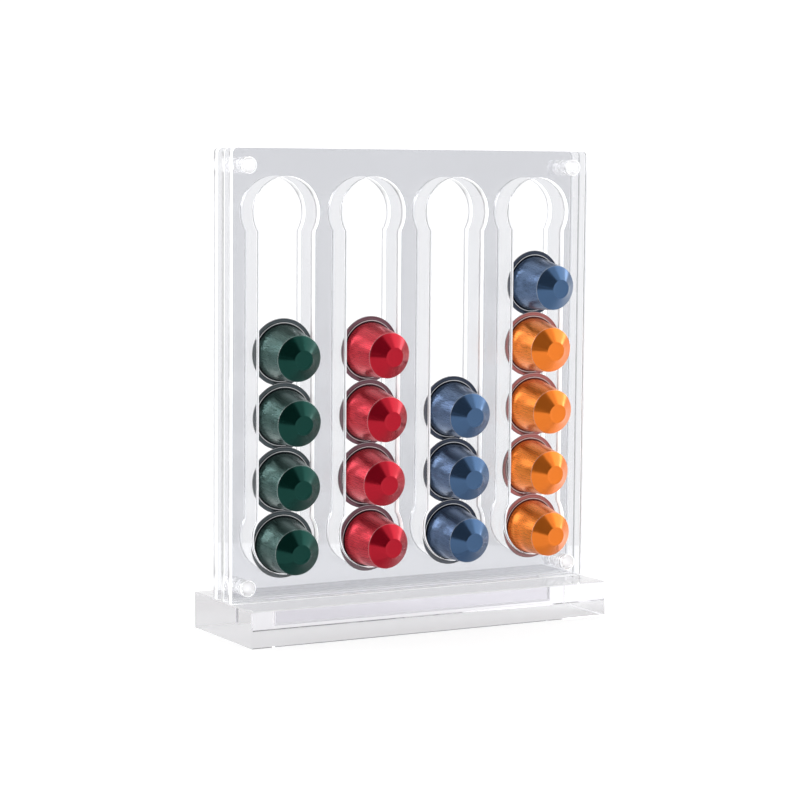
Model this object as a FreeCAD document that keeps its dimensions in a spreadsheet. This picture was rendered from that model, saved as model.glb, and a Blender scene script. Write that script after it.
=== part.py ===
"""A coffee capsule rack: a clear two-sided stand with keyhole lanes, its front lanes holding capsules.

Millimetres. X runs along the rack, Y from front to back and Z up. The origin is the middle of the
base's underside.

A capsule goes in through a round mouth at the top of a lane. Its rim drops into the channel behind
the slotted sheet, its body stands out through the slot, and it slides down onto the ones below.
"""

import FreeCAD, Part
import math
import os

import Sketcher

Vector = FreeCAD.Vector
Rotation = FreeCAD.Rotation
Placement = FreeCAD.Placement

SIZES = (
    # name, millimetres, what it is
    ("rack_length", 223.5, "length of the base and of the sheets"),
    ("base_depth", 72.5, "base, front to back"),
    ("base_height", 20.0, "base, underside to top"),
    ("base_edge", 0.6, "bevel along the base's polished edges"),
    ("panel_height", 243.6, "sheets, from the base's top"),
    ("sheet_corner", 3.0, "radius of the sheets' upper corners"),
    ("outer_sheet", 5.0, "thickness of the slotted sheets"),
    ("middle_sheet", 3.5, "thickness of the divider"),
    ("channel", 5.0, "gap between the divider and a slotted sheet"),
    ("tab_length", 174.5, "divider's tab, along the rack"),
    ("tab_depth", 12.2, "divider's tab, downwards"),
    ("tab_side_play", 0.15, "groove wider than the tab, each side"),
    ("tab_end_play", 0.4, "groove longer than the tab, each end"),
    ("tab_under_play", 0.5, "groove deeper than the tab"),
    ("lane_pitch", 52.9, "lane to lane"),
    ("low_mouth_rise", 33.7, "base's top to the lower mouths' centres"),
    ("top_mouth_drop", 34.4, "sheets' top to the upper mouths' centres"),
    ("mouth_play", 0.85, "mouth's radius over the rim's"),
    ("slot_play", 1.55, "half the slot over the body's radius"),
    ("screw_from_end", 9.8, "screws, from the sheets' ends"),
    ("screw_from_top", 9.3, "upper screws, from the sheets' top"),
    ("screw_from_base", 8.0, "lower screws, from the base's top"),
    ("screw_radius", 2.5, "screw's shank"),
    ("head_radius", 4.2, "screw's countersunk head"),
    ("hole_play", 0.15, "hole's radius over the screw's"),
    ("thread_play", 0.05, "nut's bore radius over the screw's"),
    ("nut_across_flats", 8.0, "hex nut"),
    ("nut_thickness", 3.0, "hex nut"),
    ("spacer_radius", 4.25, "sleeve between two sheets"),
    ("rim_radius", 18.5, "capsule's flange"),
    ("flange", 0.8, "thickness of the flange"),
    ("foil", 0.2, "thickness of the lid"),
    ("foil_inset", 0.6, "lid's edge, in from the flange's"),
    ("bead_width", 0.9, "bead round the foot of the body"),
    ("bead_height", 0.5, "bead round the foot of the body"),
    ("body_radius", 15.0, "body at the flange"),
    ("shoulder_radius", 12.5, "body where the nose begins"),
    ("shoulder_depth", 23.1, "foil to the shoulder"),
    ("tip_radius", 5.3, "flat end of the nose"),
    ("capsule_height", 28.6, "foil to the nose's end"),
    ("cup_wall", 0.3, "drawn aluminium"),
    ("rim_play", 0.2, "rim to the channel's walls"),
    ("seat_play", 0.4, "lowest capsule's body to the lip it stands on"),
    ("stack_play", 1.3, "rim of one capsule to the body of the next"),
)

# Each lane from left to right, and in it each capsule from the bottom up: its colour, how far it has
# slid sideways in the slot, in millimetres, and which way its nose leans, in degrees from straight
# down towards +X
LANES = (
    (("green", 0.8, -45), ("green", 1.1, -30), ("green", 1.2, -25), ("green", 0.7, -20)),
    (("red", 0.8, 30), ("red", 0.1, -20), ("red", 0.1, 20), ("red", 1.0, 20)),
    (("blue", 0.8, -5), ("blue", 1.1, -25), ("blue", 0.8, -15)),
    (("orange", 0.8, 5), ("orange", -0.9, 20), ("orange", 1.2, 0), ("orange", 0.7, -30), ("blue", 0.8, 30)),
)

# Capsules and sleeves are turned in flats, because so many of them share the facets
FLATS = 20
SLEEVE_FLATS = FLATS * 4 // 5

# The corners of the sheets that a screw goes through: side, and whether at the top
CORNERS = ((-1, True), (1, True), (-1, False), (1, False))


doc = FreeCAD.newDocument("CapsuleRack")
sizes = doc.addObject("Spreadsheet::Sheet", "Sizes")
for row, (name, value, meaning) in enumerate(SIZES, start=1):
    sizes.set(f"A{row}", meaning)
    sizes.set(f"B{row}", str(value))
    sizes.setAlias(f"B{row}", name)
doc.recompute()


def size(name):
    """A driving dimension's number."""
    return float(sizes.get(name))


def bind(obj, **expressions):
    """Ties properties to the sheet. A double underscore in a name stands for a dot."""
    for name, expression in expressions.items():
        obj.setExpression(name.replace("__", "."), expression)


# Places and fits worked out from the driving dimensions, as expressions
PANEL_TOP = "(Sizes.base_height + Sizes.panel_height)"
HALF_LENGTH = "(Sizes.rack_length / 2)"
CHANNEL_BACK = "(Sizes.middle_sheet / 2)"
CHANNEL_FRONT = f"({CHANNEL_BACK} + Sizes.channel)"
PANEL_FACE = f"({CHANNEL_FRONT} + Sizes.outer_sheet)"
MOUTH_RADIUS = "(Sizes.rim_radius + Sizes.mouth_play)"
HALF_SLOT = "(Sizes.body_radius + Sizes.slot_play)"
LOW_MOUTH = "(Sizes.base_height + Sizes.low_mouth_rise)"
TOP_MOUTH = f"({PANEL_TOP} - Sizes.top_mouth_drop)"
SCREW_X = f"({HALF_LENGTH} - Sizes.screw_from_end)"
TOP_SCREW = f"({PANEL_TOP} - Sizes.screw_from_top)"
LOW_SCREW = "(Sizes.base_height + Sizes.screw_from_base)"
HOLE_RADIUS = "(Sizes.screw_radius + Sizes.hole_play)"
FIRST_LANE = f"({(len(LANES) - 1) / 2} * Sizes.lane_pitch)"

# The same places as numbers, for sketches' first drafts and for the capsules
half_length = size("rack_length") / 2
panel_top = size("base_height") + size("panel_height")
channel_middle = (size("middle_sheet") + size("channel")) / 2
mouth_radius = size("rim_radius") + size("mouth_play")
half_slot = size("body_radius") + size("slot_play")
low_mouth = size("base_height") + size("low_mouth_rise")
top_mouth = panel_top - size("top_mouth_drop")
screw_x = half_length - size("screw_from_end")
top_screw = panel_top - size("screw_from_top")
low_screw = size("base_height") + size("screw_from_base")
first_lane = (len(LANES) - 1) / 2 * size("lane_pitch")


# Bodies and sketches


def new_body(label):
    body = doc.addObject("PartDesign::Body", label)
    body.Label = label
    return body


def new_sketch(body, name, role, offset):
    """A sketch on one of the body's origin planes, moved along its normal by an expression."""
    sketch = body.newObject("Sketcher::SketchObject", name)
    plane = [f for f in body.Origin.OriginFeatures if f.Role == role][0]
    sketch.AttachmentSupport = (plane, [""])
    sketch.MapMode = "FlatFace"
    sketch.setExpression("AttachmentOffset.Base.z", offset)
    return sketch


def constrain(sketch, name, expression, *constraint):
    """A named dimension of a sketch, tied to the sheet."""
    index = sketch.addConstraint(Sketcher.Constraint(*constraint))
    sketch.renameConstraint(index, name)
    sketch.setExpression(f"Constraints.{name}", expression)


def rectangle(sketch, half_width, low, high, names):
    """A rectangle about the sketch's vertical axis. names holds the expressions of the same three."""
    corners = [
        Vector(-half_width, low, 0),
        Vector(half_width, low, 0),
        Vector(half_width, high, 0),
        Vector(-half_width, high, 0),
    ]
    for start, end in zip(corners, corners[1:] + corners[:1]):
        sketch.addGeometry(Part.LineSegment(start, end), False)
    for side in range(4):
        sketch.addConstraint(Sketcher.Constraint("Coincident", side, 2, (side + 1) % 4, 1))
    for side, kind in enumerate(("Horizontal", "Vertical", "Horizontal", "Vertical")):
        sketch.addConstraint(Sketcher.Constraint(kind, side))
    half_expression, low_expression, high_expression = names
    constrain(sketch, "left", half_expression, "DistanceX", 0, 1, -1, 1, half_width)
    constrain(sketch, "right", half_expression, "DistanceX", -1, 1, 0, 2, half_width)
    constrain(sketch, "low", low_expression, "DistanceY", -1, 1, 0, 1, low)
    constrain(sketch, "high", high_expression, "DistanceY", -1, 1, 2, 1, high)


def pad(body, name, sketch, length):
    feature = body.newObject("PartDesign::Pad", name)
    feature.Profile = sketch
    feature.setExpression("Length", length)
    doc.recompute()
    return feature


def dress_edges(kind, body, name, base, amount, wanted):
    """Rounds (Fillet) or bevels (Chamfer) the edges of the base feature that wanted(edge) picks."""
    feature = body.newObject(f"PartDesign::{kind}", name)
    chosen = [f"Edge{i}" for i, edge in enumerate(base.Shape.Edges, start=1) if wanted(edge)]
    feature.Base = (base, chosen)
    feature.setExpression("Radius" if kind == "Fillet" else "Size", amount)
    doc.recompute()
    return feature


# The base, with the groove that takes the divider's tab


def make_base():
    body = new_body("base_block")
    outline = new_sketch(body, "base_outline", "XY_Plane", "0")
    half_depth = size("base_depth") / 2
    names = (HALF_LENGTH, "-Sizes.base_depth / 2", "Sizes.base_depth / 2")
    rectangle(outline, half_length, -half_depth, half_depth, names)
    slab = pad(body, "slab", outline, "Sizes.base_height")
    dress_edges("Chamfer", body, "polished_edges", slab, "Sizes.base_edge", lambda edge: True)

    groove_sketch = new_sketch(body, "groove_outline", "XY_Plane", "Sizes.base_height")
    half_groove = size("middle_sheet") / 2 + size("tab_side_play")
    groove_length = "(Sizes.tab_length / 2 + Sizes.tab_end_play)"
    groove_width = "(Sizes.middle_sheet / 2 + Sizes.tab_side_play)"
    names = (groove_length, f"-{groove_width}", groove_width)
    rectangle(groove_sketch, size("tab_length") / 2 + size("tab_end_play"), -half_groove, half_groove, names)
    groove = body.newObject("PartDesign::Pocket", "groove")
    groove.Profile = groove_sketch
    groove.setExpression("Length", "Sizes.tab_depth + Sizes.tab_under_play")
    doc.recompute()
    return body


# The sheets


def is_upper_corner(edge):
    """An edge through the sheet at one of its two upper corners."""
    box = edge.BoundBox
    return box.YLength > 1 and box.ZLength < 0.01 and box.XLength < 0.01 and abs(box.ZMin - panel_top) < 0.01


def make_plate(label, rear_face, thickness):
    """A plain sheet that stands on the base. Its rear face lies at rear_face along -Y."""
    body = new_body(label)
    outline = new_sketch(body, f"{label}_outline", "XZ_Plane", rear_face)
    names = (HALF_LENGTH, "Sizes.base_height", PANEL_TOP)
    rectangle(outline, half_length, size("base_height"), panel_top, names)
    plate = pad(body, f"{label}_plate", outline, thickness)
    dress_edges("Fillet", body, f"{label}_corners", plate, "Sizes.sheet_corner", is_upper_corner)
    return body


def keyhole(sketch):
    """The outline of the leftmost lane: a slot with a round mouth at each end."""
    neck = math.asin(math.sqrt(mouth_radius**2 - half_slot**2) / mouth_radius)
    x = -first_lane
    arcs = (
        (top_mouth, -neck, math.pi + neck),
        (low_mouth, math.pi - neck, 2 * math.pi + neck),
    )
    for z, start, end in arcs:
        circle = Part.Circle(Vector(x, z, 0), Vector(0, 0, 1), mouth_radius)
        sketch.addGeometry(Part.ArcOfCircle(circle, start, end), False)
    neck_drop = mouth_radius * math.sin(neck)
    for side in (1, -1):
        upper = Vector(x + side * half_slot, top_mouth - neck_drop, 0)
        lower = Vector(x + side * half_slot, low_mouth + neck_drop, 0)
        sketch.addGeometry(Part.LineSegment(upper, lower), False)
    top_arc, low_arc, right_line, left_line = range(4)
    for ends in (
        (top_arc, 1, right_line, 1),
        (top_arc, 2, left_line, 1),
        (low_arc, 2, right_line, 2),
        (low_arc, 1, left_line, 2),
    ):
        sketch.addConstraint(Sketcher.Constraint("Coincident", *ends))
    sketch.addConstraint(Sketcher.Constraint("Vertical", right_line))
    sketch.addConstraint(Sketcher.Constraint("Equal", top_arc, low_arc))
    sketch.addConstraint(Sketcher.Constraint("Vertical", top_arc, 3, low_arc, 3))
    constrain(sketch, "mouth", MOUTH_RADIUS, "Radius", top_arc, mouth_radius)
    constrain(sketch, "right", HALF_SLOT, "DistanceX", top_arc, 3, right_line, 1, half_slot)
    constrain(sketch, "left", HALF_SLOT, "DistanceX", left_line, 1, top_arc, 3, half_slot)
    constrain(sketch, "lane", FIRST_LANE, "DistanceX", top_arc, 3, -1, 1, first_lane)
    constrain(sketch, "top_mouth", TOP_MOUTH, "DistanceY", -1, 1, top_arc, 3, top_mouth)
    constrain(sketch, "low_mouth", LOW_MOUTH, "DistanceY", -1, 1, low_arc, 3, low_mouth)


def cut_lanes(body, front_face):
    """Cuts one keyhole from the sheet's front face and repeats it along the rack."""
    sketch = new_sketch(body, f"{body.Label}_lane", "XZ_Plane", front_face)
    keyhole(sketch)
    lane = body.newObject("PartDesign::Pocket", f"{body.Label}_first_lane")
    lane.Profile = sketch
    lane.setExpression("Length", "Sizes.outer_sheet")
    doc.recompute()
    row = body.newObject("PartDesign::LinearPattern", f"{body.Label}_lanes")
    row.Originals = [lane]
    row.Direction = (sketch, ["H_Axis"])
    row.Occurrences = len(LANES)
    row.setExpression("Length", f"{len(LANES) - 1} * Sizes.lane_pitch")
    body.Tip = row
    doc.recompute()


def drill(body, front_face, countersunk):
    """Four screw holes, drilled from the sheet's front face."""
    sketch = new_sketch(body, f"{body.Label}_hole_centres", "XZ_Plane", front_face)
    for index, (side, upper) in enumerate(CORNERS):
        z = top_screw if upper else low_screw
        centre = Vector(side * screw_x, z, 0)
        circle = Part.Circle(centre, Vector(0, 0, 1), size("screw_radius"))
        sketch.addGeometry(circle, False)
        ends = ("DistanceX", index, 3, -1, 1) if side < 0 else ("DistanceX", -1, 1, index, 3)
        constrain(sketch, f"across_{index}", SCREW_X, *ends, screw_x)
        rise = TOP_SCREW if upper else LOW_SCREW
        constrain(sketch, f"up_{index}", rise, "DistanceY", -1, 1, index, 3, z)
        constrain(sketch, f"radius_{index}", "Sizes.screw_radius", "Radius", index, size("screw_radius"))
    doc.recompute()
    holes = body.newObject("PartDesign::Hole", f"{body.Label}_screw_holes")
    holes.Profile = sketch
    doc.recompute()
    holes.DepthType = "ThroughAll"
    holes.setExpression("Diameter", f"2 * {HOLE_RADIUS}")
    if countersunk:
        holes.HoleCutType = "Countersink"
        holes.HoleCutCustomValues = True
        holes.HoleCutCountersinkAngle = 90
        holes.setExpression("HoleCutDiameter", "2 * (Sizes.head_radius + Sizes.hole_play)")
    doc.recompute()


def make_front_sheet():
    body = make_plate("front_sheet", CHANNEL_FRONT, "Sizes.outer_sheet")
    cut_lanes(body, PANEL_FACE)
    drill(body, PANEL_FACE, True)
    return body


def make_back_sheet():
    body = make_plate("back_sheet", f"-{PANEL_FACE}", "Sizes.outer_sheet")
    cut_lanes(body, f"-{CHANNEL_FRONT}")
    drill(body, f"-{CHANNEL_FRONT}", False)
    return body


def make_divider():
    body = make_plate("divider_sheet", f"-{CHANNEL_BACK}", "Sizes.middle_sheet")
    tab_sketch = new_sketch(body, "tab_outline", "XZ_Plane", f"-{CHANNEL_BACK}")
    half_tab = size("tab_length") / 2
    low = size("base_height") - size("tab_depth")
    names = ("Sizes.tab_length / 2", "Sizes.base_height - Sizes.tab_depth", "Sizes.base_height")
    rectangle(tab_sketch, half_tab, low, size("base_height"), names)
    pad(body, "tab", tab_sketch, "Sizes.middle_sheet")
    drill(body, CHANNEL_BACK, False)
    return body


# The fasteners, each with its axis along Y


def solid(kind, name, y, x="0", z="0", **expressions):
    """A primitive whose own axis points along +Y, from the point x, y, z."""
    shape = doc.addObject(kind, name)
    bind(shape, **expressions)
    shape.Placement.Rotation = Rotation(Vector(1, 0, 0), -90)
    bind(shape, Placement__Base__x=x, Placement__Base__y=y, Placement__Base__z=z)
    return shape


def corner_place(side, upper):
    x = SCREW_X if side > 0 else f"-{SCREW_X}"
    return {"x": x, "z": TOP_SCREW if upper else LOW_SCREW}


def make_screw(index, place):
    """Countersunk head flush with the front sheet, shank through all three sheets and the nut."""
    head_height = "(Sizes.head_radius - Sizes.screw_radius)"
    head = solid("Part::Cone", f"screw_head_{index}", f"-{PANEL_FACE}", **place)
    bind(head, Radius1="Sizes.head_radius", Radius2="Sizes.screw_radius", Height=head_height)
    shank = solid("Part::Cylinder", f"screw_shank_{index}", f"{head_height} - {PANEL_FACE}", **place)
    shank_length = f"2 * {PANEL_FACE} + Sizes.nut_thickness - {head_height}"
    bind(shank, Radius="Sizes.screw_radius", Height=shank_length)
    screw = doc.addObject("Part::Fuse", f"screw_{index}")
    screw.Base = head
    screw.Tool = shank
    return screw


def make_nut(index, place):
    hexagon = solid("Part::Prism", f"nut_hexagon_{index}", PANEL_FACE, **place)
    hexagon.Polygon = 6
    bind(hexagon, Circumradius="Sizes.nut_across_flats / 2 / cos(30deg)", Height="Sizes.nut_thickness")
    bore = solid("Part::Cylinder", f"nut_bore_{index}", PANEL_FACE, **place)
    bind(bore, Radius="Sizes.screw_radius + Sizes.thread_play", Height="Sizes.nut_thickness")
    nut = doc.addObject("Part::Cut", f"nut_{index}")
    nut.Base = hexagon
    nut.Tool = bore
    return nut


def make_spacer(index, place, name, y):
    sleeve = solid("Part::Prism", f"{name}_sleeve_{index}", y, **place)
    bind(sleeve, Circumradius="Sizes.spacer_radius", Height="Sizes.channel")
    bore = solid("Part::Prism", f"{name}_bore_{index}", y, **place)
    bind(bore, Circumradius=HOLE_RADIUS, Height="Sizes.channel")
    sleeve.Polygon = bore.Polygon = SLEEVE_FLATS
    spacer = doc.addObject("Part::Cut", f"{name}_{index}")
    spacer.Base = sleeve
    spacer.Tool = bore
    return spacer


def at_corners(label, make):
    """One object that holds the four copies of a fastener as separate solids."""
    group = doc.addObject("Part::Compound", label)
    group.Label = label
    group.Links = [make(index, corner_place(*corner)) for index, corner in enumerate(CORNERS)]
    return group


def make_fasteners():
    return [
        at_corners("corner_screws", make_screw),
        at_corners("corner_nuts", make_nut),
        at_corners("front_spacers", lambda i, place: make_spacer(i, place, "front_spacer", f"-{CHANNEL_FRONT}")),
        at_corners("rear_spacers", lambda i, place: make_spacer(i, place, "rear_spacer", CHANNEL_BACK)),
    ]


# The capsules


def ring(radius, height):
    """The corners of a ring of flats, or the axis point where the radius is 0."""
    if radius == 0:
        return [Vector(0, 0, height)]
    step = 2 * math.pi / FLATS
    return [Vector(radius * math.cos(k * step), radius * math.sin(k * step), height) for k in range(FLATS)]


def closed(points):
    return Part.makePolygon(points + points[:1])


def turned(profile):
    """A solid with a closed profile of (radius, height) points, turned about Z in flats."""
    rings = [ring(radius, height) for radius, height in profile]
    faces = []
    for here, there in zip(rings, rings[1:] + rings[:1]):
        if len(here) == 1 and len(there) == 1:
            continue
        if here[0].z == there[0].z:
            wires = [closed(points) for points in (here, there) if len(points) > 1]
            faces.append(Part.makeFace(wires, "Part::FaceMakerBullseye"))
            continue
        for k in range(FLATS):
            after = (k + 1) % FLATS
            faces.append(Part.Face(closed([here[k], here[after], there[after], there[k]])))
    shape = Part.Solid(Part.Shell(faces))
    if shape.Volume < 0:
        shape.reverse()
    return shape


def cup_shape():
    """The drawn cup, from the foil's side at height 0 to the nose: flange, bead, body, shoulder, nose."""
    foil = size("foil")
    flange_face = foil + size("flange")
    rim = size("rim_radius")
    body = size("body_radius")
    shoulder = size("shoulder_radius")
    shoulder_depth = size("shoulder_depth")
    tip = size("tip_radius")
    height = size("capsule_height")
    wall = size("cup_wall")
    outside = [
        (rim, foil),
        (rim, flange_face),
        (body + size("bead_width"), flange_face),
        (body, flange_face + size("bead_height")),
        (shoulder, shoulder_depth),
        (tip, height),
        (0, height),
    ]
    inside = [
        (0, height - wall),
        (tip - wall, height - wall),
        (shoulder - wall, shoulder_depth - wall),
        (body - wall, foil),
    ]
    return turned(outside + inside)


def lid_shape():
    radius = size("rim_radius") - size("foil_inset")
    return turned([(0, 0), (radius, 0), (radius, size("foil")), (0, size("foil"))])


def capsule_place(lane, level, slid, towards):
    """Where a capsule stands: its rim leans across the channel as far as the rim's play lets it."""
    rim_thickness = size("foil") + size("flange")
    free_depth = size("channel") - rim_thickness - 2 * size("rim_play")
    lean = math.degrees(math.asin(free_depth / (2 * size("rim_radius"))))
    seat = low_mouth - mouth_radius + size("body_radius") + size("seat_play")
    stack_pitch = size("rim_radius") + size("body_radius") + size("stack_play")
    rim_centre = Vector(lane * size("lane_pitch") - first_lane + slid, -channel_middle, seat + level * stack_pitch)
    forwards = Rotation(Vector(1, 0, 0), 90)
    lean_axis = Vector(math.cos(math.radians(towards)), 0, math.sin(math.radians(towards)))
    rotation = Rotation(lean_axis, lean).multiply(forwards)
    return Placement(rim_centre - rotation.multVec(Vector(0, 0, rim_thickness / 2)), rotation)


def add_piece(label, shape, placement):
    piece = doc.addObject("Part::Feature", label)
    piece.Label = label
    piece.Shape = shape
    piece.Placement = placement
    return piece


def make_capsules():
    cup = cup_shape()
    lid = lid_shape()
    count = {}
    pieces = []
    for lane, capsules in enumerate(LANES):
        for level, (colour, slid, towards) in enumerate(capsules):
            count[colour] = count.get(colour, 0) + 1
            placement = capsule_place(lane, level, slid, towards)
            pieces.append(add_piece(f"{colour}_cup_{count[colour]}", cup, placement))
            pieces.append(add_piece(f"{colour}_lid_{count[colour]}", lid, placement))
    return pieces


pieces = [make_base(), make_front_sheet(), make_divider(), make_back_sheet()]
pieces += make_fasteners()
pieces += make_capsules()
doc.recompute()

for obj in doc.Objects:
    if "Invalid" in obj.State or "Error" in obj.State:
        raise RuntimeError(f"{obj.Label} did not build: {obj.State}")
for piece in pieces:
    if piece.Shape.isNull() or not piece.Shape.isValid():
        raise RuntimeError(f"{piece.Label} has no valid shape")

os.makedirs("parts", exist_ok=True)
for piece in pieces:
    piece.Shape.exportStep(f"parts/{piece.Label}.step")
    print(piece.Label, len(piece.Shape.Solids), "solids", round(piece.Shape.Volume, 1), "mm3")
print("lowest capsule's rim centre", [round(c, 3) for c in capsule_place(0, 0, 0, 0).multVec(Vector(0, 0, 0.5))])
print("travel to the upper mouth, lane by lane:")
for lane, capsules in enumerate(LANES):
    rest = capsule_place(lane, len(capsules) - 1, 0, 0).multVec(Vector(0, 0, (size("foil") + size("flange")) / 2)).z
    print(f"  lane {lane + 1}: {top_mouth - rest:.3f}")
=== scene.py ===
"""Looks of the coffee capsule rack: clear sheets on a clear base, with lacquered aluminium capsules.

Pieces are made in millimetres and scaled to the frame's metres as they are placed.
"""

import math

import bmesh
import bpy
from mathutils import Matrix, Vector


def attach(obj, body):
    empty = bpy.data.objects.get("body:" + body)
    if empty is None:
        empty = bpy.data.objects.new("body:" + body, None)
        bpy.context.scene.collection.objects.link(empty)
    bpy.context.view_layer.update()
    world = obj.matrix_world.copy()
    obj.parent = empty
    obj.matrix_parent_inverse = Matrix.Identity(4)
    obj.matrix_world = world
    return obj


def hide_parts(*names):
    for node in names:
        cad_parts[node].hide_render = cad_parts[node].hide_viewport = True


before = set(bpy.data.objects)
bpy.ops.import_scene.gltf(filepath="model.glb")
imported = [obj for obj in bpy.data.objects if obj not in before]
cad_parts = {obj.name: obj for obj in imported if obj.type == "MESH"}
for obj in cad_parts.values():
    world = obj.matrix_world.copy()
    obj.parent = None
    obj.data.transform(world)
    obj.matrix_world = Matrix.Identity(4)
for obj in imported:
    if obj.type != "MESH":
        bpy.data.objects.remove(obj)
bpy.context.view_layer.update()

MM = 0.001

# The rack's own sizes, as in the CAD
RACK_LENGTH = 223.5
BASE_DEPTH = 72.5
BASE_TOP = 20.0
SHEET_TOP = 263.6
SHEET_CORNER = 3.0
OUTER_SHEET = 5.0
MIDDLE_SHEET = 3.5
CHANNEL = 5.0
LANE_PITCH = 52.9
MOUTH_RADIUS = 19.35
HALF_SLOT = 16.55
LOW_MOUTH = 53.7
TOP_MOUTH = 229.2
TAB_HALF = 87.25
TAB_DEPTH = 12.2

SCREW_X = 101.95
SCREW_HEIGHTS = (28.0, 254.3)
SCREW_RADIUS = 2.5
HEAD_RADIUS = 4.2
HEAD_CLEARANCE = 0.15
HOLE_RADIUS = 2.65
NUT_THICKNESS = 3.0
NUT_HALF_FLAT = 4.0
NUT_CORNER = 4.6
NUT_BORE = 2.6
SLEEVE_RADIUS = 4.25

CHANNEL_BACK = MIDDLE_SHEET / 2
CHANNEL_FRONT = CHANNEL_BACK + CHANNEL
PANEL_FACE = CHANNEL_FRONT + OUTER_SHEET
CHANNEL_MIDDLE = (MIDDLE_SHEET + CHANNEL) / 2

# Finer than the CAD: the round of the sheets' cut corners, and the screws' thread
EDGE_ROUND = 0.22
THREAD_PITCH = 0.8
THREAD_DEPTH = 0.45
THREAD_STEP = 0.1

# The capsules' sizes, and the play that lets them slide
RIM_RADIUS = 18.5
RIDGE_RADIUS = 16.1
GROOVE_RADIUS = 15.3
BODY_RADIUS = 15.0
RIM_THICKNESS = 1.0
SHOULDER_LINE = 22.65
LIP_GAP = 0.4
RIM_PLAY = 0.4
SEAT_HEIGHT = LOW_MOUTH - MOUTH_RADIUS + BODY_RADIUS + LIP_GAP
STACK_PITCH = 34.8
LEAN = math.asin((CHANNEL - RIM_THICKNESS - RIM_PLAY) / (2 * RIM_RADIUS))

# How far a capsule is turned past the one below it, in radians, so that no two of one colour show the
# same streaks, and how far a lane is ahead of the one before it, in capsules
TURN_STEP = 0.9
LANE_AHEAD = 3

# As in the CAD: each lane from left to right, each capsule from the bottom up, with its colour, how
# far it has slid sideways and the way its nose leans, in degrees from straight down towards +X
LANES = (
    (("green", 0.8, -45), ("green", 1.1, -30), ("green", 1.2, -25), ("green", 0.7, -20)),
    (("red", 0.8, 30), ("red", 0.1, -20), ("red", 0.1, 20), ("red", 1.0, 20)),
    (("blue", 0.8, -5), ("blue", 1.1, -25), ("blue", 0.8, -15)),
    (
        ("orange", 0.8, 5),
        ("orange", -0.9, 20),
        ("orange", 1.2, 0),
        ("orange", 0.7, -30),
        ("blue", 0.8, 30),
    ),
)

# Linear colours of a capsule's body, nose and flange, and how much of it is metal rather than pigment.
# All three are one lacquer: their different colours are painted light and shade.
CAPSULE_COLOURS = {
    "green": ((0.052, 0.112, 0.100), (0.003, 0.042, 0.033), (0.070, 0.086, 0.095), 0.78),
    "red": ((0.660, 0.038, 0.060), (0.430, 0.004, 0.019), (0.180, 0.084, 0.106), 0.66),
    "blue": ((0.108, 0.170, 0.290), (0.056, 0.114, 0.222), (0.044, 0.055, 0.084), 0.80),
    "orange": ((1.000, 0.270, 0.036), (0.860, 0.208, 0.020), (0.440, 0.154, 0.144), 0.68),
}

BLACK = (0.0, 0.0, 0.0, 1.0)
WHITE = (1.0, 1.0, 1.0, 1.0)
# A grey for the capsules' painted highlight lines on the ridge, the flange's edge and the shoulder
PAINTED_HIGHLIGHT_METAL = (0.62, 0.63, 0.64, 1.0)
PLASTIC_IOR = 1.49


# Node materials


class Nodes:
    """The node tree of a material or of the world, with a short way to add and link nodes."""

    def __init__(self, owner):
        owner.use_nodes = True
        self.owner = owner
        self.tree = owner.node_tree

    def put(self, socket, value):
        if isinstance(value, bpy.types.NodeSocket):
            self.tree.links.new(value, socket)
        else:
            socket.default_value = value

    def fill(self, node, values):
        """Puts values into a node's sockets in their own order."""
        for socket, value in zip(node.inputs, values):
            self.put(socket, value)

    def set(self, **values):
        """Puts values into the sockets of the material's shader."""
        shader = self.tree.nodes["Principled BSDF"]
        for key, value in values.items():
            self.put(shader.inputs[key.replace("_", " ")], value)

    def add(self, kind, **values):
        node = self.tree.nodes.new(f"ShaderNode{kind}")
        for key, value in values.items():
            self.put(node.inputs[key], value)
        return node

    def math(self, operation, *values):
        node = self.add("Math")
        node.operation = operation
        self.fill(node, values)
        return node.outputs[0]

    def dot(self, *vectors):
        node = self.add("VectorMath")
        node.operation = "DOT_PRODUCT"
        self.fill(node, vectors)
        return node.outputs["Value"]

    def vector(self, *parts):
        node = self.add("CombineXYZ")
        self.fill(node, parts)
        return node.outputs[0]

    def parts(self, vector):
        return self.add("SeparateXYZ", Vector=vector).outputs

    def in_object(self):
        return self.add("TexCoord").outputs["Object"]

    def in_world(self):
        return self.add("NewGeometry").outputs["Position"]

    def ramp(self, value, low, high, to_low=0.0, to_high=1.0, kind="LINEAR"):
        node = self.add("MapRange")
        node.interpolation_type = kind
        self.fill(node, (value, low, high, to_low, to_high))
        return node.outputs[0]

    def band(self, value, middle, outer, inner, share=1.0):
        """The share within the inner distance of the middle, fading to nothing at the outer one.

        The value is in metres, and the middle and the distances are in millimetres.
        """
        distance = self.math("ABSOLUTE", self.math("SUBTRACT", value, middle * MM))
        return self.ramp(distance, outer * MM, inner * MM, 0.0, share)

    def blend(self, factor, first, second):
        return self.add("Mix", Factor=factor, A=first, B=second).outputs[0]

    def mix(self, factor, first, second):
        node = self.add("Mix", Factor=factor)
        node.data_type = "RGBA"
        self.put(node.inputs[6], first)
        self.put(node.inputs[7], second)
        return node.outputs[2]

    def noise(self, vector, scale, detail=2.0):
        return self.add("TexNoise", Vector=vector, Scale=scale, Detail=detail).outputs["Fac"]

    def bump(self, height, strength, distance):
        return self.add("Bump", Height=height, Strength=strength, Distance=distance).outputs["Normal"]


def new_material(name):
    return Nodes(bpy.data.materials.new(name))


def colour(rgb, factor=1.0):
    return tuple(channel * factor for channel in rgb) + (1.0,)


def grey(value):
    return (value, value, value, 1.0)


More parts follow.
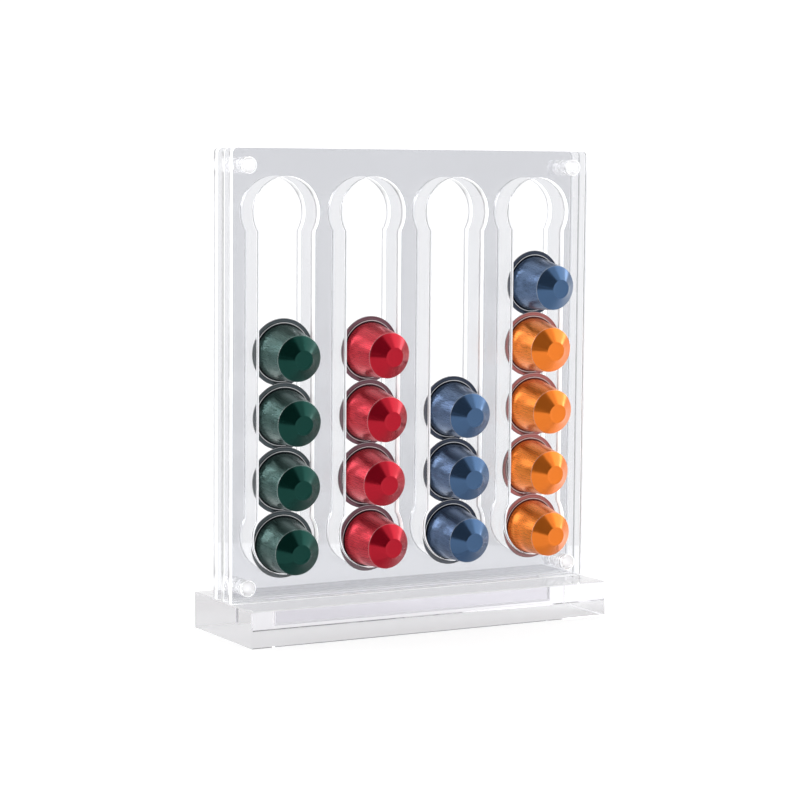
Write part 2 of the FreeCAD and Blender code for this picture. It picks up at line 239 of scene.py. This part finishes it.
def brushed_lacquer(name, body, nose, flange, metal):
    """Coloured lacquer over aluminium, with fine lines along the body from drawing.

    Painted highlights in bare-metal grey line the ridge, the flange's edge and the shoulder; painted
    shade darkens the groove.
    """
    n = new_material(name)
    x, y, z = n.parts(n.in_object())
    angle = n.math("ARCTAN2", y, x)
    radius = n.math("SQRT", n.math("ADD", n.math("MULTIPLY", x, x), n.math("MULTIPLY", y, y)))
    around = n.vector(n.math("COSINE", angle), n.math("SINE", angle), n.math("MULTIPLY", z, 1.2))
    drawn = n.blend(0.7, n.noise(around, 40.0), n.noise(around, 170.0))
    rings = n.noise(n.vector(radius), 1800.0)

    on_body = n.ramp(z, 1.2 * MM, 1.8 * MM)
    on_nose = n.ramp(z, 22.6 * MM, 23.2 * MM)
    streaks = n.blend(n.math("SUBTRACT", on_body, on_nose), rings, drawn)

    # Painted shade in the groove; painted highlights in bare-metal grey on the ridge, the flange's edge
    # and the shoulder
    groove_shade = n.band(radius, GROOVE_RADIUS, 0.40, 0.20, 0.7)
    ridge_highlight = n.band(radius, RIDGE_RADIUS, 0.30, 0.12)
    rim_edge_highlight = n.ramp(radius, 18.25 * MM, 18.45 * MM)
    shoulder_highlight = n.band(z, SHOULDER_LINE, 0.28, 0.12, 0.35)
    rim = n.mix(groove_shade, colour(flange), colour(flange, 0.2))
    rim = n.mix(n.math("MAXIMUM", ridge_highlight, rim_edge_highlight), rim, PAINTED_HIGHLIGHT_METAL)
    # The body's colour, made lighter still, is painted light on the same lacquer as the nose's
    paint = n.mix(on_nose, n.mix(on_body, rim, colour(body, 1.12)), colour(nose))
    paint = n.mix(shoulder_highlight, paint, PAINTED_HIGHLIGHT_METAL)
    darker = n.math("MULTIPLY", n.ramp(streaks, 0.62, 0.38), n.math("SUBTRACT", 1.0, on_nose))
    n.set(
        Base_Color=n.mix(n.math("MULTIPLY", darker, 0.20), paint, BLACK),
        Metallic=metal,
        Roughness=n.blend(on_nose, n.ramp(streaks, 0.35, 0.65, 0.24, 0.34), 0.18),
        Normal=n.bump(streaks, 0.11, 0.00005),
        Specular_IOR_Level=0.4,
    )
    return n.owner


def foil_material():
    n = new_material("lid_foil")
    crinkle = n.noise(n.in_object(), 320.0, 3.0)
    n.set(
        Base_Color=n.mix(crinkle, colour((0.66, 0.67, 0.69)), colour((0.80, 0.80, 0.82))),
        Metallic=1.0,
        Roughness=n.ramp(crinkle, 0.3, 0.7, 0.24, 0.36),
        Normal=n.bump(crinkle, 0.15, 0.0001),
    )
    return n.owner


def acrylic(name, tint):
    """Clear cast sheet with polished faces and the faintest waviness."""
    n = new_material(name)
    waviness = n.noise(n.in_object(), 14.0, 1.0)
    n.set(
        Base_Color=n.mix(waviness, colour(tint, 0.99), colour(tint, 1.01)),
        Roughness=0.0,
        IOR=PLASTIC_IOR,
        Transmission_Weight=1.0,
        Normal=n.bump(waviness, 0.02, 0.0004),
    )
    return n.owner


def cut_edge(name, front_y, glow):
    """Where the sheet was cut through: satin, with a painted highlight, white and glowing, in the first 3
    mm behind front_y.

    The glow is painted light that stands for the light that the sheet carries to its edges.
    """
    n = new_material(name)
    place_in_sheet = n.in_object()
    stretched = n.add("Mapping", Vector=place_in_sheet, Scale=(1.0, 0.15, 1.0))
    lines = n.noise(stretched.outputs[0], 900.0)
    # Painted highlight: the cut wall is white and glows in the first 3 mm behind front_y
    painted_highlight_band = n.ramp(n.parts(place_in_sheet)[1], (front_y + 3.4) * MM, (front_y + 2.6) * MM)
    cleared = n.mix(lines, colour((0.70, 0.71, 0.73)), colour((0.78, 0.79, 0.81)))
    n.set(
        Base_Color=n.mix(painted_highlight_band, cleared, colour((0.95, 0.96, 0.97))),
        Roughness=n.ramp(lines, 0.3, 0.7, 0.28, 0.42),
        IOR=PLASTIC_IOR,
        Transmission_Weight=0.55,
        Emission_Color=WHITE,
        Emission_Strength=n.math("MULTIPLY", painted_highlight_band, glow),
        Normal=n.bump(lines, 0.10, 0.00005),
    )
    return n.owner


def clouded(name):
    """Clear moulded plastic, milky enough to show against the sheets, with a painted glow that is
    faintest at the screws' heads.
    """
    n = new_material(name)
    place_in_panel = n.in_object()
    cloud = n.noise(place_in_panel, 260.0)
    depth = n.parts(place_in_panel)[1]
    n.set(
        Base_Color=n.mix(cloud, colour((0.94, 0.94, 0.96)), WHITE),
        Roughness=n.ramp(cloud, 0.3, 0.7, 0.16, 0.32),
        IOR=PLASTIC_IOR,
        Transmission_Weight=0.50,
        Emission_Color=WHITE,
        # Painted light: a faint glow, least at the screws' heads
        Emission_Strength=n.ramp(depth, -11.5 * MM, -8.5 * MM, 0.04, 0.22),
    )
    return n.owner


CAPSULE_MATERIALS = {
    name: brushed_lacquer(f"{name}_lacquer", *colours) for name, colours in CAPSULE_COLOURS.items()
}
FOIL = foil_material()
# The slotted sheets' and the base's grey tints are painted shade: they darken the white floor and tent
# seen through them. The divider is nearly clear.
SLOTTED = acrylic("slotted_acrylic", (0.768, 0.773, 0.793))
CLEAR = acrylic("divider_acrylic", (0.985, 0.985, 0.99))
BLOCK = acrylic("base_acrylic", (0.805, 0.797, 0.828))
CLOUDED = clouded("clouded_plastic")

# The flamed corners carry the painted highlight and glow through the whole panel, so their front_y is its
# rear face
FLAMED_CORNER = cut_edge("flamed_corner", PANEL_FACE, 0.85)


# Mesh helpers


def link(name, data):
    """A new object in the scene."""
    thing = bpy.data.objects.new(name, data)
    bpy.context.scene.collection.objects.link(thing)
    return thing


def finished(mesh, name, material):
    """Mesh data out of a bmesh, in one material."""
    data = bpy.data.meshes.new(name)
    mesh.to_mesh(data)
    mesh.free()
    data.materials.append(material)
    return data


def shade(data, degrees):
    """Smooth shading with sharp edges kept where faces meet at more than the angle."""
    data.shade_smooth()
    data.set_sharp_from_angle(angle=math.radians(degrees))


def skin(mesh, rings):
    """Faces from each ring of vertices to the next. A ring of one vertex is a pole."""
    around = max(len(ring) for ring in rings)
    for here, there in zip(rings, rings[1:]):
        for k in range(around):
            after = (k + 1) % around
            corners = [here[k % len(here)], here[after % len(here)]]
            corners += [there[after % len(there)], there[k % len(there)]]
            corners = list(dict.fromkeys(corners))
            if len(corners) > 2:
                mesh.faces.new(corners)
    bmesh.ops.recalc_face_normals(mesh, faces=mesh.faces)


def arc(centre_r, centre_z, radius, start, end, steps):
    """Points along an arc, both ends included, its angles in degrees."""
    angles = [math.radians(start + (end - start) * k / steps) for k in range(steps + 1)]
    return [(centre_r + radius * math.cos(a), centre_z + radius * math.sin(a)) for a in angles]


def revolved(name, profile, material, degrees):
    """A closed profile of (radius, height) points turned about Z. A point on the axis becomes a pole."""
    around = 96
    angles = [2 * math.pi * k / around for k in range(around)]
    mesh = bmesh.new()
    rings = []
    for radius, height in profile:
        if radius == 0:
            points = [(0, 0, height * MM)]
        else:
            r = radius * MM
            points = [(r * math.cos(a), r * math.sin(a), height * MM) for a in angles]
        rings.append([mesh.verts.new(point) for point in points])
    skin(mesh, rings + rings[:1])
    data = finished(mesh, name, material)
    shade(data, degrees)
    return data


def place(name, data, body, slot, *nodes, matrix=Matrix.Identity(4)):
    """Adds a piece that rides a body and stands for CAD nodes, which it hides. The slot is not used."""
    piece = link(name, data)
    piece.matrix_world = matrix
    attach(piece, body)
    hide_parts(*nodes)
    return piece


def lane_x(lane):
    return (lane - (len(LANES) - 1) / 2) * LANE_PITCH


# Capsules


def rim_profile():
    """The flange: its curled edge, the ridge over the seal and the groove at the foot of the body."""
    profile = [(14.7, 0.25)]
    profile += arc(18.08, 0.62, 0.42, -90, 150, 14)
    profile += [(17.6, 0.78), (17.0, 0.72), (16.6, 0.74)]
    profile += arc(RIDGE_RADIUS, 0.98, 0.32, 0, 180, 10)
    profile += [(15.6, 0.74), (GROOVE_RADIUS, 0.7), (15.12, 0.9), (15.0, 1.2), (14.7, 1.2)]
    return profile


def cup_profile():
    """Tapered body, rounded shoulder, nose with a shallow dished end; then the inside."""
    outside = [(14.8, 0.5), (15.08, 1.1), (15.04, 1.4), (14.98, 2.0), (14.2, 8.5), (13.45, 15.0)]
    outside += arc(11.95, 22.5, 0.62, 6, 52, 8)
    outside += [(9.0, 25.5)]
    outside += arc(5.10, 28.15, 0.45, 40, 90, 5)
    outside += [(4.6, 28.55), (4.25, 28.4), (3.9, 28.33), (2.0, 28.33), (0.0, 28.33)]
    inside = [(0.0, 28.0), (5.0, 28.0), (11.6, 22.6), (12.2, 22.0), (14.5, 2.0)]
    return outside + inside


def lid_profile():
    """Thin foil with the seal's ring pressed into it."""
    under = [(0, 0.05), (14.6, 0.05), (14.9, 0.0), (15.7, 0.0), (16.0, 0.05), (17.7, 0.05)]
    over = [(17.9, 0.12), (17.8, 0.22), (0, 0.22)]
    return under + over


def capsule_matrix(lane, level, slid, towards):
    """Where a capsule hangs, its own Z turned forwards and leaning as far as the channel lets it."""
    centre = Vector((lane_x(lane) + slid, -CHANNEL_MIDDLE, SEAT_HEIGHT + level * STACK_PITCH))
    lean_axis = Vector((math.cos(math.radians(towards)), 0, math.sin(math.radians(towards))))
    rotation = Matrix.Rotation(LEAN, 4, lean_axis) @ Matrix.Rotation(math.radians(90), 4, "X")
    start = centre - rotation @ Vector((0, 0, RIM_THICKNESS / 2))
    return Matrix.Translation(start * MM) @ rotation


def make_capsules():
    """Rims, cups and lids.

    The cups stay out of reflections, so that no nose mirrors the next lane's bodies.
    """
    cups, rims = {}, {}
    for name, lacquer in CAPSULE_MATERIALS.items():
        cups[name] = revolved(f"{name}_cup", cup_profile(), lacquer, 40)
        rims[name] = revolved(f"{name}_rim", rim_profile(), lacquer, 40)
    lid = revolved("lid", lid_profile(), FOIL, 32)
    count = {}
    for lane, capsules in enumerate(LANES):
        for level, (name, slid, towards) in enumerate(capsules):
            count[name] = count.get(name, 0) + 1
            number = count[name]
            matrix = capsule_matrix(lane, level, slid, towards)
            turned = matrix @ Matrix.Rotation(TURN_STEP * (LANE_AHEAD * lane + level), 4, "Z")
            body = f"{name}_capsule_{number}"
            finish, node = f"{name}_aluminium", f"{name}_cup_{number}"
            cup = place(f"{name}_drawn_cup_{number}", cups[name], body, finish, node, matrix=turned)
            cup.visible_glossy = False
            place(f"{name}_curled_rim_{number}", rims[name], body, finish, node, matrix=turned)
            place(f"{name}_foil_lid_{number}", lid, body, "foil", f"{name}_lid_{number}", matrix=turned)


# Sheets


def add_outline(curve, points):
    """One closed outline of straight runs."""
    spline = curve.splines.new("POLY")
    spline.points.add(len(points) - 1)
    for point, (x, z) in zip(spline.points, points):
        point.co = (x, z, 0, 1)
    spline.use_cyclic_u = True


def sheet_outline(tab):
    half = RACK_LENGTH / 2
    corner_x, corner_z = half - SHEET_CORNER, SHEET_TOP - SHEET_CORNER
    points = [(-half, BASE_TOP)]
    if tab:
        points += [(-TAB_HALF, BASE_TOP), (-TAB_HALF, BASE_TOP - TAB_DEPTH)]
        points += [(TAB_HALF, BASE_TOP - TAB_DEPTH), (TAB_HALF, BASE_TOP)]
    points += [(half, BASE_TOP)]
    points += arc(corner_x, corner_z, SHEET_CORNER, 0, 90, 12)
    points += arc(-corner_x, corner_z, SHEET_CORNER, 90, 180, 12)
    return points


def keyhole(x):
    """A lane's slot, which opens into a round mouth at its top and bottom."""
    neck = math.degrees(math.acos(HALF_SLOT / MOUTH_RADIUS))
    top = arc(x, TOP_MOUTH, MOUTH_RADIUS, -neck, 180 + neck, 72)
    low = arc(x, LOW_MOUTH, MOUTH_RADIUS, 180 - neck, 360 + neck, 72)
    return top + low


def make_sheet(name, node, rear_y, thickness, material, glow, tab=False, head=False):
    """A sheet cut from its outline, with its corners flamed to a small round and cut walls with a painted
    glow.
    """
    curve = bpy.data.curves.new(name, "CURVE")
    curve.dimensions = "2D"
    curve.fill_mode = "BOTH"
    add_outline(curve, sheet_outline(tab))
    if not tab:
        for lane in range(len(LANES)):
            add_outline(curve, keyhole(lane_x(lane)))
    hole = HEAD_RADIUS + HEAD_CLEARANCE if head else HOLE_RADIUS
    for x in (-SCREW_X, SCREW_X):
        for z in SCREW_HEIGHTS:
            add_outline(curve, arc(x, z, hole, 0, 360, 40)[:-1])
    curve.extrude = thickness / 2 - EDGE_ROUND
    curve.bevel_depth = EDGE_ROUND
    curve.bevel_resolution = 2
    curve.offset = -EDGE_ROUND
    maker = link(name, curve)
    bpy.context.view_layer.update()
    solid = maker.evaluated_get(bpy.context.evaluated_depsgraph_get())
    data = bpy.data.meshes.new_from_object(solid)
    bpy.data.objects.remove(maker)
    to_middle = Matrix.Translation((0, rear_y - thickness / 2, 0))
    data.transform(Matrix.Scale(MM, 4) @ to_middle @ Matrix.Rotation(math.radians(90), 4, "X"))
    data.materials.clear()
    cut_wall = cut_edge(f"{name}_cut_wall", rear_y - thickness, glow)
    for finish in (material, cut_wall, FLAMED_CORNER):
        data.materials.append(finish)
    for polygon in data.polygons:
        facing = abs(polygon.normal.y)
        if facing > 0.9:
            polygon.material_index = 0
        elif facing < 0.1:
            polygon.material_index = 1
        else:
            polygon.material_index = 2
    shade(data, 35)
    place(name, data, "panel", "clear_acrylic", node)


# Fasteners


def fastener(name, rows, around, degrees):
    """The same piece at each screw's place, as rings about lines along Y.

    A row is a ring's y and its radius, a number or a function of the turn from 0 to 1.
    """
    mesh = bmesh.new()
    for z in SCREW_HEIGHTS:
        for x in (-SCREW_X, SCREW_X):
            rings = []
            for y, radius in rows:
                ring = []
                for k in range(around):
                    r = radius(k / around) if callable(radius) else radius
                    angle = 2 * math.pi * k / around
                    ring.append(mesh.verts.new((x + r * math.cos(angle), y, z + r * math.sin(angle))))
                rings.append(ring)
            skin(mesh, rings)
    bmesh.ops.remove_doubles(mesh, verts=mesh.verts, dist=1e-4)
    bmesh.ops.recalc_face_normals(mesh, faces=mesh.faces)
    bmesh.ops.scale(mesh, vec=(MM, MM, MM), verts=mesh.verts)
    data = finished(mesh, name, CLOUDED)
    shade(data, degrees)
    return data


def thread(depth):
    """The thread's radius round the screw at a depth, as a function of the turn."""

    def radius(turn):
        wave = (depth / THREAD_PITCH - turn) % 1.0
        return SCREW_RADIUS - THREAD_DEPTH * abs(2 * wave - 1)

    return radius


def hexagon(corner):
    """A nut's radius as a function of the turn: its flats, cut off by a round at the corners."""

    def radius(turn):
        within = (2 * math.pi * turn) % (math.pi / 3) - math.pi / 6
        return min(corner, NUT_HALF_FLAT / math.cos(within))

    return radius


def screw_rows():
    """A countersunk screw with a helical thread, its head flush with the front sheet."""
    head = HEAD_RADIUS - SCREW_RADIUS
    length = 2 * PANEL_FACE + NUT_THICKNESS
    rows = [(0.0, 0.0), (0.0, HEAD_RADIUS - 0.15), (0.15, HEAD_RADIUS)]
    rows += [(head, SCREW_RADIUS), (head + 0.8, SCREW_RADIUS)]
    for k in range(int((length - head - 1.6) / THREAD_STEP)):
        depth = head + 1.0 + THREAD_STEP * k
        rows.append((depth, thread(depth)))
    rows += [(length - 0.4, 2.1), (length, 1.8), (length, 0.0)]
    return [(depth - PANEL_FACE, radius) for depth, radius in rows]


def nut_rows():
    near, far = PANEL_FACE, PANEL_FACE + NUT_THICKNESS
    face, middle = hexagon(NUT_CORNER - 0.4), hexagon(NUT_CORNER)
    outside = [(near, face), (near + 0.3, middle), (far - 0.3, middle), (far, face)]
    return [(near, NUT_BORE), *outside, (far, NUT_BORE), (near, NUT_BORE)]


def sleeve_rows(near):
    far = near + CHANNEL
    face, middle = SLEEVE_RADIUS - 0.15, SLEEVE_RADIUS
    outside = [(near, face), (near + 0.15, middle), (far - 0.15, middle), (far, face)]
    return [(near, HOLE_RADIUS), *outside, (far, HOLE_RADIUS), (near, HOLE_RADIUS)]


def make_fasteners():
    screws = fastener("threaded_screws", screw_rows(), 32, 35)
    place("threaded_screws", screws, "panel", "clear_plastic", "corner_screws")
    nuts = fastener("hex_nuts", nut_rows(), 48, 20)
    place("hex_nuts", nuts, "panel", "clear_plastic", "corner_nuts")
    front = fastener("front_sleeves", sleeve_rows(-CHANNEL_FRONT), 48, 35)
    place("front_sleeves", front, "panel", "clear_plastic", "front_spacers")
    rear = fastener("rear_sleeves", sleeve_rows(CHANNEL_BACK), 48, 35)
    place("rear_sleeves", rear, "panel", "clear_plastic", "rear_spacers")


# The room

# Fitted to the rack's corners, lanes and rims in the photograph: metres, degrees, and the lens in
# millimetres
CAMERA_PLACE = (-0.67603, -1.20082, 0.25470)
CAMERA_TURN = -29.267
CAMERA_DOWN = 5.387
CAMERA_ROLL = 0.470
CAMERA_LENS = 111.88

# How bright the tent is, then its patches: direction, the angles that each fades between, and how
# many times brighter its middle is
TENT = 1.12
SKY_PATCHES = (
    ((-0.54, -0.68, 0.46), 37, 45, 0.08),
    ((0.78, -0.12, 0.60), 18, 30, 2.0),
    ((0.93, 0.06, 0.36), 4, 8, 2.2),
    ((-0.56, 0.73, 0.40), 12, 18, 4.6),
    ((0.34, 0.76, 0.56), 13, 22, 0.08),
)

# The floor's lamps, dimmed under the base as painted shadow, and a strip of painted light that runs
# square to the camera's view, with the distances behind the rack's middle in metres between which it
# fades in and out
GLOW_IN_PAINTED_SHADOW = 0.63
LAMPS = 0.73
PAINTED_LIGHT_STRIP = 0.17
STRIP_WAY = (0.489, 0.872)
STRIP_START = (0.05, 0.09)
STRIP_END = (0.290, 0.284)

# The black card's near and far corner, in metres along X and Y alike
CARD_NEAR = -0.43
CARD_FAR = -4.0

# Heights in millimetres, out of the plane of the base's underside and of each other
FLOOR_HEIGHT = 0.05
CARD_HEIGHT = 0.5


def make_floor():
    """A plain pale floor, lit from under it as on a light table.

    It is dimmer under the base, as painted shadow, and brighter in a strip behind it, as painted light.
    """
    n = new_material("floor_paint")
    position = n.in_world()
    x, y = n.parts(position)[:2]
    half_length, half_depth = RACK_LENGTH / 2 * MM, BASE_DEPTH / 2 * MM
    beside = n.ramp(n.math("ABSOLUTE", x), half_length - MM, half_length)
    before = n.ramp(n.math("ABSOLUTE", y), half_depth - MM, half_depth)
    # Dimmed under the base: painted shadow
    glow_with_painted_shadow = n.ramp(n.math("MAXIMUM", beside, before), 0.0, 1.0, GLOW_IN_PAINTED_SHADOW, LAMPS)
    behind = n.math("ADD", n.math("MULTIPLY", x, STRIP_WAY[0]), n.math("MULTIPLY", y, STRIP_WAY[1]))
    # A brighter strip behind the base: painted light
    strip = n.math("MULTIPLY", n.ramp(behind, *STRIP_START), n.ramp(behind, *STRIP_END))
    n.set(
        Base_Color=n.mix(n.noise(position, 900.0), grey(0.29), grey(0.31)),
        Roughness=0.8,
        Emission_Color=WHITE,
        Emission_Strength=n.math("ADD", glow_with_painted_shadow, n.math("MULTIPLY", strip, PAINTED_LIGHT_STRIP)),
    )
    mesh = bmesh.new()
    bmesh.ops.create_circle(mesh, cap_ends=True, radius=20.0, segments=64)
    floor = link("floor", finished(mesh, "floor", n.owner))
    floor.location.z = FLOOR_HEIGHT * MM


def make_card():
    """A black card at the front left, which only gives the noses something dark to reflect."""
    n = new_material("black_card")
    n.set(
        Base_Color=n.mix(n.noise(n.in_world(), 300.0), grey(0.04), grey(0.06)),
        Roughness=0.9,
    )
    near, far = CARD_NEAR, CARD_FAR
    mesh = bmesh.new()
    corners = [mesh.verts.new((x, y, 0)) for x, y in ((far, far), (near, far), (near, near), (far, near))]
    mesh.faces.new(corners)
    card = link("card", finished(mesh, "card", n.owner))
    card.location.z = CARD_HEIGHT * MM
    card.visible_camera = False
    card.visible_transmission = False
    card.visible_diffuse = False
    card.visible_shadow = False


def make_light():
    """A white studio tent with dark openings at the front left and high at the back.

    Softboxes stand at the back left and the right. The key light from the front left is kept out of
    reflections, so the opening stays dark in them.
    """
    world = bpy.data.worlds.new("studio")
    bpy.context.scene.world = world
    n = Nodes(world)
    direction = n.add("TexCoord").outputs["Generated"]
    strength = TENT
    for middle, inner, outer, gain in SKY_PATCHES:
        nearness = n.dot(direction, Vector(middle).normalized())
        edges = math.cos(math.radians(outer)), math.cos(math.radians(inner))
        patch = n.ramp(nearness, *edges, 1.0, gain, "SMOOTHSTEP")
        strength = n.math("MULTIPLY", patch, strength)
    seen = n.add("LightPath").outputs["Is Camera Ray"]
    background = n.tree.nodes["Background"]
    n.put(background.inputs["Color"], WHITE)
    n.put(background.inputs["Strength"], n.math("MAXIMUM", strength, seen))

    light = bpy.data.lights.new("key", "AREA")
    light.size = 0.9
    light.energy = 4.0
    key = link("key", light)
    key.location = (-1.2, -0.9, 0.9)
    rack_middle = Vector((0, 0, 0.12))
    key.rotation_euler = (rack_middle - key.location).to_track_quat("-Z", "Y").to_euler()
    key.visible_glossy = False
    key.visible_transmission = False


def make_camera():
    camera = bpy.data.cameras.new("camera")
    camera.lens = CAMERA_LENS
    camera.sensor_width = 36.0
    camera.clip_end = 50.0
    holder = link("camera", camera)
    turn = Matrix.Rotation(math.radians(CAMERA_TURN), 4, "Z")
    tilt = Matrix.Rotation(math.radians(90 - CAMERA_DOWN), 4, "X")
    roll = Matrix.Rotation(math.radians(CAMERA_ROLL), 4, "Z")
    holder.matrix_world = Matrix.Translation(CAMERA_PLACE) @ turn @ tilt @ roll
    bpy.context.scene.camera = holder


make_camera()
make_light()
make_floor()
make_card()
make_capsules()
make_sheet("front_slotted_sheet", "front_sheet", -CHANNEL_FRONT, OUTER_SHEET, SLOTTED, 0.50, head=True)
make_sheet("divider", "divider_sheet", CHANNEL_BACK, MIDDLE_SHEET, CLEAR, 0.05, tab=True)
make_sheet("back_slotted_sheet", "back_sheet", PANEL_FACE, OUTER_SHEET, SLOTTED, 0.36)
make_fasteners()

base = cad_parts["base_block"]
base.data.materials.clear()
base.data.materials.append(BLOCK)

bpy.context.scene.view_settings.view_transform = "Standard"
